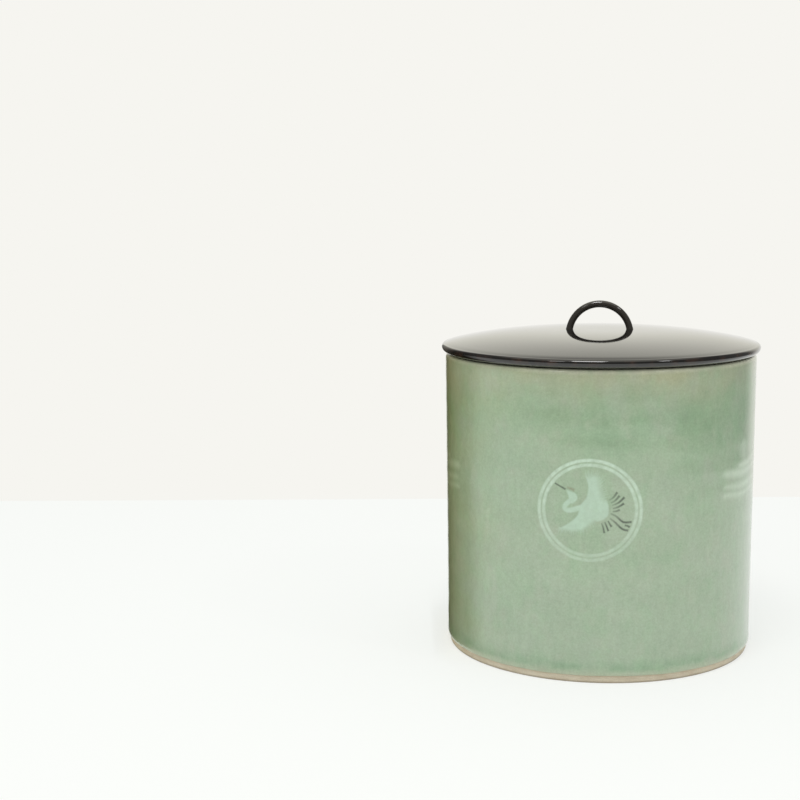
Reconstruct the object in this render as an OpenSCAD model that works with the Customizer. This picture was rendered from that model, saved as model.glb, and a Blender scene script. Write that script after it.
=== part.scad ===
// Water jar for the tea room: a thrown celadon cylinder with a slip inlay,
// a turned lacquer lid, and a loop handle let into the lid.
// Lengths are in millimetres and angles in degrees. +Z is up, the front faces -Y,
// and the origin is the centre of the plane that the foot rests on.

/* [Jar] */
// Height of the jar, from its resting plane to the top of its lip
jar_h = 159; // [130:1:200]
// Diameter over the glaze at the mouth
mouth_d = 165.8; // [150:0.2:190]
// Diameter over the glaze at the bottom of the wall
base_d = 164; // [150:0.2:190]
// Wall at the mouth, glaze included
mouth_wall = 6.4; // [5:0.2:9]
// Wall just above the floor, glaze included
base_wall = 8; // [6:0.2:12]
// Clay of the floor, above the recess under it
floor_t = 7; // [4:0.5:12]
// Radius of the hollow between floor and wall, inside
floor_fillet = 12; // [5:0.5:25]
// Thickness of the glaze coat
glaze_t = 0.8; // [0.5:0.1:1.2]

/* [Foot] */
// Height of the bare clay band below the glaze
foot_h = 4; // [2:0.2:8]
// How far the clay band draws in to its resting edge
foot_taper = 0.4; // [0:0.1:2]
// Width of the ring that the jar stands on
foot_ring_w = 9; // [5:0.5:20]
// Depth of the recess inside that ring
foot_recess = 2.5; // [1:0.1:5]
// Rounding of the ring's two edges
foot_round = 0.8; // [0.3:0.1:1.5]

/* [Lid] */
// How far the lid stands out past the mouth
lid_overhang = 2.1; // [0.5:0.1:8]
// Height of the lid's edge
lid_edge_h = 4.9; // [4.6:0.1:8]
// Rounding of the edge's upper corner
lid_edge_round = 1.8; // [0.5:0.1:2]
// Rounding of the edge's lower corner
lid_under_round = 2.6; // [0.5:0.1:2.6]
// Rise of the crown above the edge
crown_rise = 6.7; // [4:0.1:14]
// Fullness of the crown: 2 is an even dome, more is flatter on top and rounder near the edge
crown_power = 3; // [2:0.1:5]
// Height of the locating ring under the lid
spigot_h = 3.5; // [2:0.1:8]
// Width of the locating ring
spigot_w = 5; // [3:0.5:10]
// Play all round between the locating ring and the glazed mouth
spigot_play = 1.5; // [0.6:0.1:3]
// Gap between lip and lid when the lid is on
lid_gap = 0.3; // [0.2:0.1:0.6]

/* [Handle] */
// Outer width of the arch
arch_d = 36.4; // [24:0.2:60]
// Diameter of the bent bar
bar_d = 3.8; // [2.5:0.1:6]
// How far the centre of the arch lies below the top of the crown
arch_sink = 2.8; // [0.5:0.1:4]
// Straight end of the bar below the arch, glued into the lid
tenon_l = 4; // [2:0.1:5]
// Glue gap round the bar in its mortise
glue_gap = 0.05; // [0.02:0.01:0.2]

/* [Roundel] */
// Turn of the roundel from the front
roundel_turn = -2.8; // [-20:0.1:20]
// Height of the roundel's centre above the resting plane
roundel_z = 89; // [60:1:95]
// Outer radius of the outer ring
roundel_r = 26; // [22:0.1:30]
// Width of each of the two rings
ring_w = 1.6; // [0.8:0.1:2]
// Ground left between the two rings
ring_space = 0.7; // [0.5:0.1:2]
// Least ground left between the crane and the inner ring
crane_margin = 0.5; // [0.3:0.1:4]

/* [Clouds] */
// Length of each cloud
cloud_l = 62; // [40:1:80]
// Height of the clouds' middle above the resting plane
cloud_z = 98; // [60:1:105]
// Turn from the front to the middle of the right cloud
cloud_right_turn = 70; // [60:1:110]
// Turn from the front to the middle of the left cloud
cloud_left_turn = -82; // [-110:1:-60]

/* [Inlay] */
// Share of the glaze's thickness that the slip is let into
slip_share = 0.6; // [0.4:0.05:0.8]
// Seam between the slip and the glaze round it
seam = 0.05; // [0.02:0.01:0.1]

/* [Hidden] */

// Steps in a lip, fillet or edge arc, in the lid's crown, in each span of a drawn line, and in a cloud band
arc_steps = 10;
crown_steps = 20;
span_steps = 3;
band_steps = 14;
$fn = 96;

// Clay radii at the ends of the wall, where the glaze lies outside them
clay_base_r = base_d / 2 - glaze_t;
clay_mouth_r = mouth_d / 2 - glaze_t;
foot_r = clay_base_r - foot_taper;
foot_ring_in_r = foot_r - foot_ring_w;
slip_t = slip_share * glaze_t;

// Round lip of the clay
lip_r = mouth_wall / 2 - glaze_t;
lip_c = [clay_mouth_r - lip_r, jar_h - glaze_t - lip_r];

// Hollow between floor and wall
floor_z = foot_recess + floor_t;
inside_base_r = clay_base_r - base_wall + 2 * glaze_t;
fillet_c = [inside_base_r - floor_fillet, floor_z + floor_fillet];

// Lid, taken from the mouth that it covers
lid_z = jar_h + lid_gap;
lid_r = mouth_d / 2 + lid_overhang;
lid_edge_z = lid_z + lid_edge_h;
crown_r = lid_r - lid_edge_round;
crown_z = lid_edge_z + crown_rise;
crown_rim_slope = atan(crown_power * crown_rise / crown_r);
spigot_r = mouth_d / 2 - mouth_wall - spigot_play;

// Handle, taken from the crown that it stands on
arch_r = (arch_d - bar_d) / 2;
arch_z = crown_z - arch_sink;

// Rings of the roundel, from the outside in
inner_ring_r = roundel_r - ring_w - ring_space;
ground_r = inner_ring_r - ring_w;

// Crane, drawn about the roundel's centre and then scaled to the ground inside the rings.
// Wings and body, clockwise from the root of the neck
crane_wings = [
    [-4.4, 2.6], [-1.8, 6], [-0.8, 9.6], [-0.8, 13.2], [-2.4, 18.2],
    [-0.8, 17], [0.2, 19], [1.4, 17.4], [2.6, 18.8], [3.6, 17],
    [4.9, 17.8], [5.7, 14.6], [6.4, 10.8], [8, 6.4], [9.3, 2],
    [9, -2.4], [6.2, -4.7], [2.8, -5.8], [-0.2, -8.4], [-3.6, -11],
    [-8.4, -11.4], [-15.8, -10.6], [-12.2, -8.2], [-8.6, -5.6], [-6, -2.8], [-5.2, -0.4]
];
// Head, clockwise from the root of the bill, and neck, from the head to the breast
crane_head = [
    [-11.2, 9.9], [-9.2, 9.3], [-7.5, 8.7], [-6.2, 7.2], [-6.1, 5.7],
    [-7.2, 4.2], [-8.7, 3.3], [-10.2, 4.5], [-10.2, 6.5], [-11, 8.4]
];
crane_neck = [
    [-8.9, 5.2], [-11.2, 3.2], [-12.3, 1.6], [-11.9, 0.2], [-10.3, -0.3], [-7.6, 0.3], [-4, 1.6]
];
crane_bill_line = [[-11.9, 10.2], [-14.6, 11.6], [-17.2, 13]];
crane_crest_line = [[-11, 11.2], [-9.2, 10.7], [-7.6, 9.9]];
crane_tail_lines = [
    [[9.7, 5.4], [11.7, 6.9], [13.4, 9.3]],
    [[10.4, 4], [12.5, 5.2], [14.5, 7.6]],
    [[10.9, 2.7], [14.1, 4.1], [16.9, 6.8]],
    [[11.3, 1.2], [13.9, 1.9], [16.7, 3.7]],
    [[11.3, -0.3], [12.9, -0.2], [14.7, 0.5]]
];
// Two legs, and the toe between their ends
crane_leg_lines = [
    [[10.3, -1.4], [13.2, -2.9], [16.4, -5.7], [20.5, -5.7]],
    [[10, -3.8], [12.7, -6], [15.9, -9.1], [18.9, -10]],
    [[17.2, -7.4], [18.4, -7.6], [19.6, -8.3]]
];
crane_wing_stroke_lines = [
    [[5.9, -6.2], [6.7, -8.4], [7.3, -11.2]],
    [[7.5, -5.6], [8.3, -7.6], [9.3, -10.2]],
    [[9.1, -5.1], [9.8, -6.4], [10.8, -8]]
];
// Widths of the drawn lines at their start and at their end
neck_w = [2.3, 2.5];
bill_w = [0.9, 0.7];
crest_w = [0.7, 1.2];
tail_w = [0.7, 1.1];
leg_w = [0.8, 1.1];
wing_stroke_w = [0.5, 1];

crane_outer_lines = concat([crane_wings, crane_bill_line], crane_leg_lines);
crane_reach = max([for (line = crane_outer_lines, p = line) norm(p)]);
crane_scale = (ground_r - crane_margin) / crane_reach;

// Cloud bands as shares of the cloud's length: start, end, height about the middle, thickness
cloud_bands = [
    [-0.24, 0.5, 0.13, 0.05],
    [-0.5, 0.24, 0.06, 0.065],
    [-0.46, 0.44, -0.045, 0.055],
    [-0.49, 0.21, -0.12, 0.045]
];
// Height and length of a band's waves, as the same shares, and the shape of its blunt end
wave_h_share = 0.012;
wave_l_share = 0.62;
band_bluntness = 0.7;
band_wave_h = wave_h_share * cloud_l;
band_wave_l = wave_l_share * cloud_l;

// Colours
clay_colour = [0.73, 0.69, 0.61];
celadon_colour = [0.63, 0.70, 0.60];
white_slip_colour = [0.82, 0.87, 0.80];
dark_slip_colour = [0.20, 0.22, 0.19];
rust_slip_colour = [0.38, 0.30, 0.24];
lacquer_colour = [0.08, 0.07, 0.07];

// Points of an arc from one angle to another
function arc(centre, r, from, to) = [
    for (i = [0 : arc_steps])
        let (a = from + (to - from) * i / arc_steps)
            centre + r * [cos(a), sin(a)]
];

// Point at t on a smooth line from b to c, with neighbours a and d
function curve_point(a, b, c, d, t) =
    b + (c - a) * t / 2
    + (2 * a - 5 * b + 4 * c - d) * pow(t, 2) / 2
    + (3 * b - a - 3 * c + d) * pow(t, 3) / 2;

// Smooth line through points, with two ends
function open_curve(p) = [
    for (i = [0 : span_steps * (len(p) - 1)])
        let (k = min(floor(i / span_steps), len(p) - 2))
            curve_point(p[max(k - 1, 0)], p[k], p[k + 1], p[min(k + 2, len(p) - 1)], i / span_steps - k)
];

// Smooth line through points, closed on itself
function closed_curve(p) = [
    for (i = [0 : span_steps * len(p) - 1])
        let (n = len(p), k = floor(i / span_steps))
            curve_point(p[(k + n - 1) % n], p[k], p[(k + 1) % n], p[(k + 2) % n], i / span_steps - k)
];

function unit(v) = v / norm(v);
function left_of(v) = [-v[1], v[0]];
function reversed(p) = [for (i = [len(p) - 1 : -1 : 0]) p[i]];
function along(p, i) = unit(p[min(i + 1, len(p) - 1)] - p[max(i - 1, 0)]);

// Clockwise outline moved outward
function swollen(p, grow) = [
    for (i = [0 : len(p) - 1])
        let (n = len(p))
            p[i] + grow * left_of(unit(p[(i + 1) % n] - p[(i + n - 1) % n]))
];

// One side of a drawn line, which also gains at both ends when it grows
function line_side(p, w, grow, side) = [
    for (i = [0 : len(p) - 1])
        let (n = len(p) - 1, half = (w[0] + (w[1] - w[0]) * i / n) / 2 + grow)
            p[i] + along(p, i) * (i == 0 ? -grow : i == n ? grow : 0) + left_of(along(p, i)) * side * half
];

// One side of a cloud band: blunt at its start, thin at its end
function band_side(band, grow, side) = [
    for (i = [1 : band_steps - 1])
        let (
            s = i / band_steps,
            x = band[0] + (band[1] - band[0]) * pow(s, 2),
            middle = band[2] + band_wave_h * sin(360 * x / band_wave_l)
        )
            [x, middle + side * (band[3] / 2 * pow(sin(180 * s), band_bluntness) + grow)]
];
function band_end(band, end, grow) =
    [band[end] + (end == 0 ? -grow : grow), band[2] + band_wave_h * sin(360 * band[end] / band_wave_l)];

// Half section of the face that the glaze covers, from the foot band over the lip to the floor's middle
function glazed_face(grow) = concat(
    [[clay_base_r + grow, foot_h]],
    arc(lip_c, lip_r + grow, 0, 180),
    arc(fillet_c, floor_fillet - grow, 0, -90),
    [[0, floor_z + grow]]
);
clay_section = concat(
    [[0, foot_recess], [foot_ring_in_r, foot_recess]],
    [[foot_ring_in_r, foot_round], [foot_ring_in_r + foot_round, 0]],
    arc([foot_r - foot_round, foot_round], foot_round, -90, 0),
    glazed_face(0)
);
glaze_section = concat(glazed_face(glaze_t), reversed(glazed_face(0)));

function crown_height(r) = lid_edge_z + crown_rise * (1 - pow(r / crown_r, crown_power));
lid_section = concat(
    [[0, lid_z], [spigot_r - spigot_w, lid_z], [spigot_r - spigot_w, lid_z - spigot_h]],
    [[spigot_r, lid_z - spigot_h], [spigot_r, lid_z]],
    arc([lid_r - lid_under_round, lid_z + lid_under_round], lid_under_round, -90, 0),
    arc([crown_r, lid_edge_z - lid_edge_round], lid_edge_round, 0, 90 - crown_rim_slope),
    [for (i = [crown_steps - 1 : -1 : 0]) let (r = crown_r * i / crown_steps) [r, crown_height(r)]]
);

// Layer of the outer wall, from a depth under the glaze's face to a height over it
module wall_layer(under, over) {
    rotate_extrude()
        polygon([
            [base_d / 2 - under, foot_h], [base_d / 2 + over, foot_h],
            [mouth_d / 2 + over, lip_c[1]], [mouth_d / 2 - under, lip_c[1]]
        ]);
}

// A flat drawing carried out to the wall, at a turn from the front and at a height
module carried(turn, z) {
    rotate([0, 0, turn])
        translate([0, 0, z])
            rotate([90, 0, 0])
                linear_extrude(height = mouth_d)
                    children();
}

// Slip let into the glaze inside a drawing, flush with its face
module slip(turn, z) {
    intersection() {
        wall_layer(slip_t, 0);
        carried(turn, z) children();
    }
}

// The drawings below are each grown by the seam where the glaze is cut for them
module ring_drawing(r, grow) {
    difference() {
        circle(r = r + grow);
        circle(r = r - ring_w - grow);
    }
}

module line_drawing(points, w, grow) {
    line = open_curve(crane_scale * points);
    drawn_w = crane_scale * w;
    polygon(concat(line_side(line, drawn_w, grow, 1), reversed(line_side(line, drawn_w, grow, -1))));
}

module lines_drawing(lines, w, grow) {
    for (points = lines)
        line_drawing(points, w, grow);
}

module shape_drawing(points, grow) {
    polygon(swollen(closed_curve(crane_scale * points), grow));
}

module white_crane_drawing(grow) {
    shape_drawing(crane_wings, grow);
    shape_drawing(crane_head, grow);
    line_drawing(crane_neck, neck_w, grow);
}

module roundel_drawing(grow) {
    ring_drawing(roundel_r, grow);
    ring_drawing(inner_ring_r, grow);
    white_crane_drawing(grow);
    line_drawing(crane_bill_line, bill_w, grow);
    line_drawing(crane_crest_line, crest_w, grow);
    lines_drawing(crane_tail_lines, tail_w, grow);
    lines_drawing(crane_leg_lines, leg_w, grow);
    lines_drawing(crane_wing_stroke_lines, wing_stroke_w, grow);
}

module cloud_drawing(grow) {
    for (shares = cloud_bands) {
        band = cloud_l * shares;
        polygon(concat(
            [band_end(band, 0, grow)], band_side(band, grow, 1),
            [band_end(band, 1, grow)], reversed(band_side(band, grow, -1))
        ));
    }
}

// Bar of the handle: the arch and its two straight tenons
module handle_bar(grow) {
    translate([0, 0, arch_z]) {
        rotate([90, 0, 0])
            rotate_extrude(angle = 180)
                translate([arch_r, 0])
                    circle(d = bar_d + 2 * grow);
        for (side = [-1, 1])
            translate([side * arch_r, 0, -tenon_l - grow])
                cylinder(h = tenon_l + grow, d = bar_d + 2 * grow);
    }
}

module jar_body() {
    color(clay_colour)
        rotate_extrude()
            polygon(clay_section);
}

module celadon_glaze() {
    color(celadon_colour)
        difference() {
            rotate_extrude() polygon(glaze_section);
            intersection() {
                wall_layer(slip_t + seam, glaze_t);
                union() {
                    carried(roundel_turn, roundel_z) roundel_drawing(seam);
                    carried(cloud_right_turn, cloud_z) cloud_drawing(seam);
                    carried(cloud_left_turn, cloud_z) mirror([1, 0]) cloud_drawing(seam);
                }
            }
        }
}

module roundel_outer_ring() {
    color(white_slip_colour)
        slip(roundel_turn, roundel_z)
            ring_drawing(roundel_r, 0);
}

module roundel_inner_ring() {
    color(white_slip_colour)
        slip(roundel_turn, roundel_z)
            ring_drawing(inner_ring_r, 0);
}

module crane_white_slip() {
    color(white_slip_colour)
        slip(roundel_turn, roundel_z)
            white_crane_drawing(0);
}

module crane_bill() {
    color(dark_slip_colour)
        slip(roundel_turn, roundel_z)
            line_drawing(crane_bill_line, bill_w, 0);
}

module crane_crest() {
    color(rust_slip_colour)
        slip(roundel_turn, roundel_z)
            line_drawing(crane_crest_line, crest_w, 0);
}

module crane_tail() {
    color(dark_slip_colour)
        slip(roundel_turn, roundel_z)
            lines_drawing(crane_tail_lines, tail_w, 0);
}

module crane_legs() {
    color(dark_slip_colour)
        slip(roundel_turn, roundel_z)
            lines_drawing(crane_leg_lines, leg_w, 0);
}

module crane_wing_strokes() {
    color(dark_slip_colour)
        slip(roundel_turn, roundel_z)
            lines_drawing(crane_wing_stroke_lines, wing_stroke_w, 0);
}

module cloud_left() {
    color(white_slip_colour)
        slip(cloud_left_turn, cloud_z)
            mirror([1, 0])
                cloud_drawing(0);
}

module cloud_right() {
    color(white_slip_colour)
        slip(cloud_right_turn, cloud_z)
            cloud_drawing(0);
}

module lid_board() {
    color(lacquer_colour)
        difference() {
            rotate_extrude() polygon(lid_section);
            handle_bar(glue_gap);
        }
}

module lid_handle() {
    color(lacquer_colour)
        handle_bar(0);
}

jar_body();
celadon_glaze();
roundel_outer_ring();
roundel_inner_ring();
crane_white_slip();
crane_bill();
crane_crest();
crane_tail();
crane_legs();
crane_wing_strokes();
cloud_left();
cloud_right();
lid_board();
lid_handle();
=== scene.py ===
import math
import random

import bmesh
import bpy
import numpy as np
from mathutils import Matrix, Vector


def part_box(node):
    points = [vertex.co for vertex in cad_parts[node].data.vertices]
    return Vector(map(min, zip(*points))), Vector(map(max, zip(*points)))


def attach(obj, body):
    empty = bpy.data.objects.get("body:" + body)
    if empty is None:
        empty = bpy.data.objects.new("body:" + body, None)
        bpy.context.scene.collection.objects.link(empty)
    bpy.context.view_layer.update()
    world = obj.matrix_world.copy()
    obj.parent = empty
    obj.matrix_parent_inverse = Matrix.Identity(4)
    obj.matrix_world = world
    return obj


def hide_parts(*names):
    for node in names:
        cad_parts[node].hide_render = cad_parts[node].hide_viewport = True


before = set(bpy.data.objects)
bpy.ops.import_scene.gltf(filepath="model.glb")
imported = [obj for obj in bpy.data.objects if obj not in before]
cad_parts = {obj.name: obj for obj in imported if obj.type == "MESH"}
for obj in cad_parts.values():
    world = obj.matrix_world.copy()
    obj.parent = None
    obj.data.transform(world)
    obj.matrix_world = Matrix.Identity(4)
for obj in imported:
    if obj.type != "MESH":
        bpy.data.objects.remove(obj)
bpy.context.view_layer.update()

MM = 0.001


# How near to a level or to the axis a point counts as on it, in millimetres
LEVEL_TOLERANCE = 0.05
AXIS_TOLERANCE = 1e-6
# Least square of a length that is divided by
TINY = 1e-12


def mm_box(name):
    low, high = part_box(name)
    return low / MM, high / MM


def node_points(name):
    return np.array([vertex.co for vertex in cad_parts[name].data.vertices]) / MM


def radius_at(name, z):
    points = node_points(name)
    level = points[abs(points[:, 2] - z) < LEVEL_TOLERANCE]
    return np.hypot(level[:, 0], level[:, 1]).max()


# Sizes read from the frame, in millimetres
glaze_low, glaze_high = mm_box("celadon_glaze")
lid_low, lid_high = mm_box("lid_board")
handle_high = mm_box("lid_handle")[1]
ring_low, ring_high = mm_box("roundel_outer_ring")
FOOT_H = glaze_low.z
JAR_H = glaze_high.z
MOUTH_R = glaze_high.x
BASE_R = radius_at("celadon_glaze", FOOT_H)
FOOT_R = radius_at("jar_body", FOOT_H)
LID_R = lid_high.x
CROWN_Z = lid_high.z
SPIGOT_Z = lid_low.z
ARCH_R = handle_high.x - handle_high.y
BAR_R = handle_high.y
ARCH_Z = handle_high.z - handle_high.x
ROUNDEL_Z = (ring_low.z + ring_high.z) / 2

# Further sizes of the jar in millimetres, and the power of its lip's curve
GLAZE_T = 0.8
LIP_R = 3.2
LIP_FULLNESS = 3
INSIDE_BASE_R = 74.0
FLOOR_Z = 10.3
FILLET_R = 11.2
FOOT_RING_W = 9.0
FOOT_RECESS = 2.5
RECESS_ROUND = 0.6
FOOT_ROUND = 0.8
FOOT_TAPER = 0.4
EDGE_CLEAR = 0.2
BAND_STEP = 0.05
COVERED_H = 6.0
FOOT_MARGIN = 1.0
LIP_Z = JAR_H - LIP_R
LIP_X = MOUTH_R - LIP_R
FILLET_X = INSIDE_BASE_R - FILLET_R
FILLET_Z = FLOOR_Z + FILLET_R
BACK_GAP = 0.02

# Sizes of the lid in millimetres, the power of its crown's curve and the spacing of the curve's points
LID_GAP = 0.3
LID_EDGE_H = 4.9
LID_EDGE_ROUND = 1.8
LID_UNDER_ROUND = 2.6
LID_CORNER_ROUND = 0.4
CROWN_POWER = 3
CROWN_SPACING = 0.7
SHOULDER_W = 4.0
SHOULDER_DROP = 0.2
RIM_LIFT = 0.35
SPIGOT_W = 5.0
SPIGOT_OUT_R = 75.0
LID_Z = JAR_H + LID_GAP
LID_EDGE_Z = LID_Z + LID_EDGE_H
CROWN_R = LID_R - LID_EDGE_ROUND
CROWN_RISE = CROWN_Z - LID_EDGE_Z

# Steps round a turned piece, round the handle's bar and along its arch, and the least angle of a sharp edge
TURN_STEPS = 288
BAR_STEPS = 28
ARCH_STEPS = 96
SHARP_ANGLE = math.radians(38)

# Hand-made unevenness in millimetres. The throwing's spiral and phase and the recess's turns are in radians
THROWING_WAVE = 0.035
THROWING_PITCH = 13.0
THROWING_SPIRAL = 0.9
THROWING_PHASE = 0.6
WARP = 0.06
WAVE_FADE_FOOT = (2.0, 14.0)
WAVE_FADE_LIP = 10.0
GLAZE_EDGE_WAVE = 0.16
GLAZE_EDGE_REACH = (1.0, 8.0)
GLAZE_BEAD = 0.16
GLAZE_BEAD_H = 2.2
GLAZE_BEAD_W = 1.7
FLOOR_SPIRAL = 0.1
FLOOR_SPIRAL_W = 2.1
FLOOR_SPIRAL_START = 8.0
RECESS_MARK = 0.05
RECESS_TURNS = 2.4
TRIM_MARK = 0.035
TRIM_PITCH = 1.1
# Waves of the warp: share, number round the jar, rise in millimetres over one radian, phase
WARP_WAVES = [(0.6, 2, 45, 0.4), (0.4, 3, -28, 0.0)]
# Waves of the glaze's lower edge: share, number round the jar, phase
EDGE_WAVES = [(0.6, 5, 1.0), (0.3, 11, 0.3), (0.3, 23, 0.0)]

# Handle: how far its ends sink into the lid, in radians along the arch
HANDLE_SINK = 0.07
# Fillet at the handle's feet in millimetres, and the share, number and phase of the bar's unevenness
HANDLE_FILLET = 0.1
HANDLE_FILLET_H = 0.5
BAR_UNEVEN = 0.02
BAR_WAVES = 3
BAR_PHASE = 0.8

# Slip film: heights of its back, edge and full face over the wall, in millimetres
FILM_BACK = 0.006
FILM_EDGE_T = 0.012
FILM_T = 0.05
# Outer face of a slip node, in millimetres: how near to the wall it lies, digits that tell its points apart
FACE_TOLERANCE = 0.1
FACE_DIGITS = 3
# Strength of the slip: the least at which the film is laid, and the name of the layer that keeps it
SLIP_LEAST = 0.004
SLIP_LAYER = "slip"

# Strength of the rings at their lowest point, and of a dark stroke near the crane's body
RING_THIN = 0.48
STROKE_FAINT = 0.4
# Distances from the roundel's centre between which the dark strokes come up, in millimetres
TAIL_RISE = (10, 17)
LEG_RISE = (9, 17)
WING_RISE = (7, 12)

# Soft edges of the slip to each side of its outline, and the spacing of a film's points, in millimetres
RING_EDGE = 0.42
CRANE_EDGE = 0.5
LINE_EDGE = 0.3
CREST_EDGE = 0.7
CLOUD_EDGE = 1.7
CLOUD_FADE = 6.0
RING_STEP = 0.28
CRANE_STEP = 0.24
LINE_STEP = 0.2
CLOUD_STEP = 0.6

# Trailing edges of the crane's wings about the roundel's centre, where the slip thins out into feathers
LOWER_WING_EDGE = [(-15.8, -10.6), (-8.4, -11.4), (-3.6, -11.0), (-0.2, -8.4), (2.8, -5.8)]
UPPER_WING_EDGE = [
    (-2.4, 18.2), (0.2, 19.0), (2.6, 18.8), (4.9, 17.8), (5.7, 14.6), (6.4, 10.8), (8.0, 6.4),
]
LOWER_THINNING = (-0.6, 2.1)
UPPER_THINNING = (-1.2, 3.4)
# Feathers: number along an edge, direction at its first and last end
LOWER_FEATHERS = (19, (-0.35, -1.0), (0.4, -0.9))
UPPER_FEATHERS = (21, (-0.15, 1.0), (1.0, 0.15))
# Each feather: share of its place along the edge, root, length and width in millimetres, taper, soft edge
FEATHER_SPREAD = (0.2, 0.8)
FEATHER_ROOT = 1.2
FEATHER_L = (1.2, 3.0)
FEATHER_W = (0.5, 0.8)
FEATHER_TAPER = 0.7
FEATHER_SOFT = (0.15, 0.25)
FEATHER_STRENGTH = 0.62
FEATHER_SEED = 5


def smoothstep(low, high, x):
    t = np.clip((x - low) / (high - low), 0, 1)
    return t * t * (3 - 2 * t)


def wall_radius(z):
    return BASE_R + (MOUTH_R - BASE_R) * (z - FOOT_H) / (LIP_Z - FOOT_H)


def wall_unevenness(angle, z):
    start, end = (FOOT_H + height for height in WAVE_FADE_FOOT)
    fade = smoothstep(start, end, z) * smoothstep(LIP_Z, LIP_Z - WAVE_FADE_LIP, z)
    spiral = THROWING_SPIRAL * np.sin(angle + THROWING_PHASE)
    throwing = np.sin(2 * math.pi * z / THROWING_PITCH + spiral)
    warp = sum(share * np.sin(count * angle + z / rise + phase) for share, count, rise, phase in WARP_WAVES)
    return fade * (THROWING_WAVE * throwing + WARP * warp)


# Profiles are lists of (radius, height) in millimetres
def arc(centre, r, start, end, steps):
    angles = np.radians(np.linspace(start, end, steps + 1))
    return [(centre[0] + r * math.cos(a), centre[1] + r * math.sin(a)) for a in angles]


def lip_curve(r, start, end, steps):
    """The lip's outline about its middle, a little fuller than round."""
    angles = np.radians(np.linspace(start, end, steps + 1))
    across = np.sign(np.cos(angles)) * abs(np.cos(angles)) ** (2 / LIP_FULLNESS)
    up = abs(np.sin(angles)) ** (2 / LIP_FULLNESS)
    return list(zip(LIP_X + r * across, LIP_Z + r * up))


def line(start, end, steps):
    first = np.array(start)
    run = np.array(end) - first
    return [tuple(first + run * t) for t in np.linspace(0, 1, steps + 1)]


def new_piece(name, vertices, faces, material, body, slot, replaced):
    mesh = bpy.data.meshes.new(name)
    mesh.from_pydata([tuple(v) for v in np.array(vertices) * MM], [], faces)
    outward = bmesh.new()
    outward.from_mesh(mesh)
    bmesh.ops.recalc_face_normals(outward, faces=outward.faces)
    outward.to_mesh(mesh)
    outward.free()
    mesh.shade_smooth()
    mesh.set_sharp_from_angle(angle=SHARP_ANGLE)
    mesh.materials.append(material)
    piece = bpy.data.objects.new(name, mesh)
    bpy.context.scene.collection.objects.link(piece)
    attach(piece, body)
    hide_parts(*replaced)
    return piece


def turned(profile, shape=None, closed=False):
    """Vertices and faces of a profile turned round the axis. A point on the axis is one vertex."""
    angles = np.arange(TURN_STEPS) * 2 * math.pi / TURN_STEPS
    vertices = []
    rows = []
    for r, z in profile:
        if r < AXIS_TOLERANCE:
            rows.append([len(vertices)] * TURN_STEPS)
            vertices.append((0, 0, z))
            continue
        even = (np.full(TURN_STEPS, r), np.full(TURN_STEPS, z))
        radii, heights = shape(angles, r, z) if shape else even
        rows.append(list(range(len(vertices), len(vertices) + TURN_STEPS)))
        vertices.extend(zip(radii * np.sin(angles), -radii * np.cos(angles), heights))
    faces = []
    pairs = list(zip(rows, rows[1:]))
    if closed:
        pairs.append((rows[-1], rows[0]))
    for lower, upper in pairs:
        for i in range(TURN_STEPS):
            j = (i + 1) % TURN_STEPS
            corners = [lower[i], lower[j], upper[j], upper[i]]
            faces.append(list(dict.fromkeys(corners)))
    return vertices, faces


# Jar
def clay_profile():
    ring_in = FOOT_R - FOOT_TAPER - FOOT_RING_W
    foot_out = FOOT_R - FOOT_TAPER
    recess_r = np.linspace(0, ring_in - RECESS_ROUND - EDGE_CLEAR, 70)
    recess = [(r, FOOT_RECESS + RECESS_MARK * math.sin(r * RECESS_TURNS)) for r in recess_r]
    back = GLAZE_T + BACK_GAP
    return (
        recess
        + arc((ring_in - RECESS_ROUND, FOOT_RECESS - RECESS_ROUND), RECESS_ROUND, 90, 0, 5)
        + arc((ring_in + FOOT_ROUND, FOOT_ROUND), FOOT_ROUND, 180, 270, 6)
        + line((ring_in + 2 * FOOT_ROUND, 0), (foot_out - 2 * FOOT_ROUND, 0), 6)
        + arc((foot_out - FOOT_ROUND, FOOT_ROUND), FOOT_ROUND, -90, 0, 6)
        + line((foot_out + BAND_STEP, FOOT_ROUND + EDGE_CLEAR), (FOOT_R, FOOT_H), 12)
        + [(wall_radius(FOOT_H + COVERED_H) - back, FOOT_H + COVERED_H)]
        + lip_curve(LIP_R - back, 0, 180, 16)
        + arc((FILLET_X, FILLET_Z), FILLET_R + back, 0, -90, 6)
        + [(0, FLOOR_Z - back)]
    )


def clay_shape(angles, r, z):
    on_band = FOOT_ROUND < z < FOOT_H and r > FOOT_R - FOOT_MARGIN
    mark = TRIM_MARK * np.sin(2 * math.pi * z / TRIM_PITCH + np.sin(angles)) if on_band else 0
    return r + mark + 0 * angles, z + 0 * angles


def glaze_profile():
    edge = GLAZE_T / 2
    outside = [(wall_radius(z), z) for z in np.linspace(FOOT_H + edge, LIP_Z, 96)]
    bead = arc((BASE_R - edge, FOOT_H + edge), edge - BACK_GAP / 2, 180, 350, 8)
    inner = line((LIP_X - LIP_R, LIP_Z), (INSIDE_BASE_R, FILLET_Z), 40)
    floor = [(r, FLOOR_Z) for r in np.linspace(FILLET_X, 0, 48)]
    back = GLAZE_T - BACK_GAP
    hidden = (
        [(0, FLOOR_Z - back)]
        + arc((FILLET_X, FILLET_Z), FILLET_R + back, -90, 0, 6)
        + lip_curve(LIP_R - back, 180, 0, 16)
        + [(wall_radius(FOOT_H + COVERED_H) - back, FOOT_H + COVERED_H)]
    )
    return (
        bead
        + outside
        + lip_curve(LIP_R, 0, 180, 40)[1:]
        + inner[1:]
        + arc((FILLET_X, FILLET_Z), FILLET_R, 0, -90, 18)[1:]
        + floor[1:]
        + hidden
    )


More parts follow.
